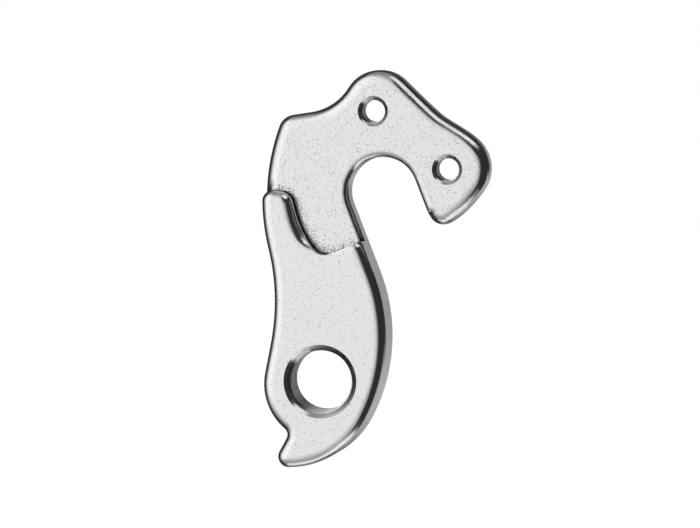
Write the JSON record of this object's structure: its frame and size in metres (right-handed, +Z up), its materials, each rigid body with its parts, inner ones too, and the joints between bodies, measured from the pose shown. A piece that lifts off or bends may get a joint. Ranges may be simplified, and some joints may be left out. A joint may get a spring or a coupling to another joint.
{
  "type": "bicycle derailleur hanger",
  "caption": "Hooked aluminium plate with an open axle slot and screw threads, stepped down to a thick boss with the large thread for a rear derailleur and a stop tooth.",
  "frame": {"origin": "where the axis of the derailleur's thread meets the outer face of the boss", "axes": "+X to the front of the bicycle, +Y from the outer face towards the wheel, +Z up"},
  "size_m": [0.033, 0.008, 0.0581],
  "materials": {
    "polished_aluminium": "forged aluminium alloy, machined face, barrel polished all over with fine pits"
  },
  "bodies": {
    "root": {"hanger": "polished_aluminium"}
  },
  "joints": []
}
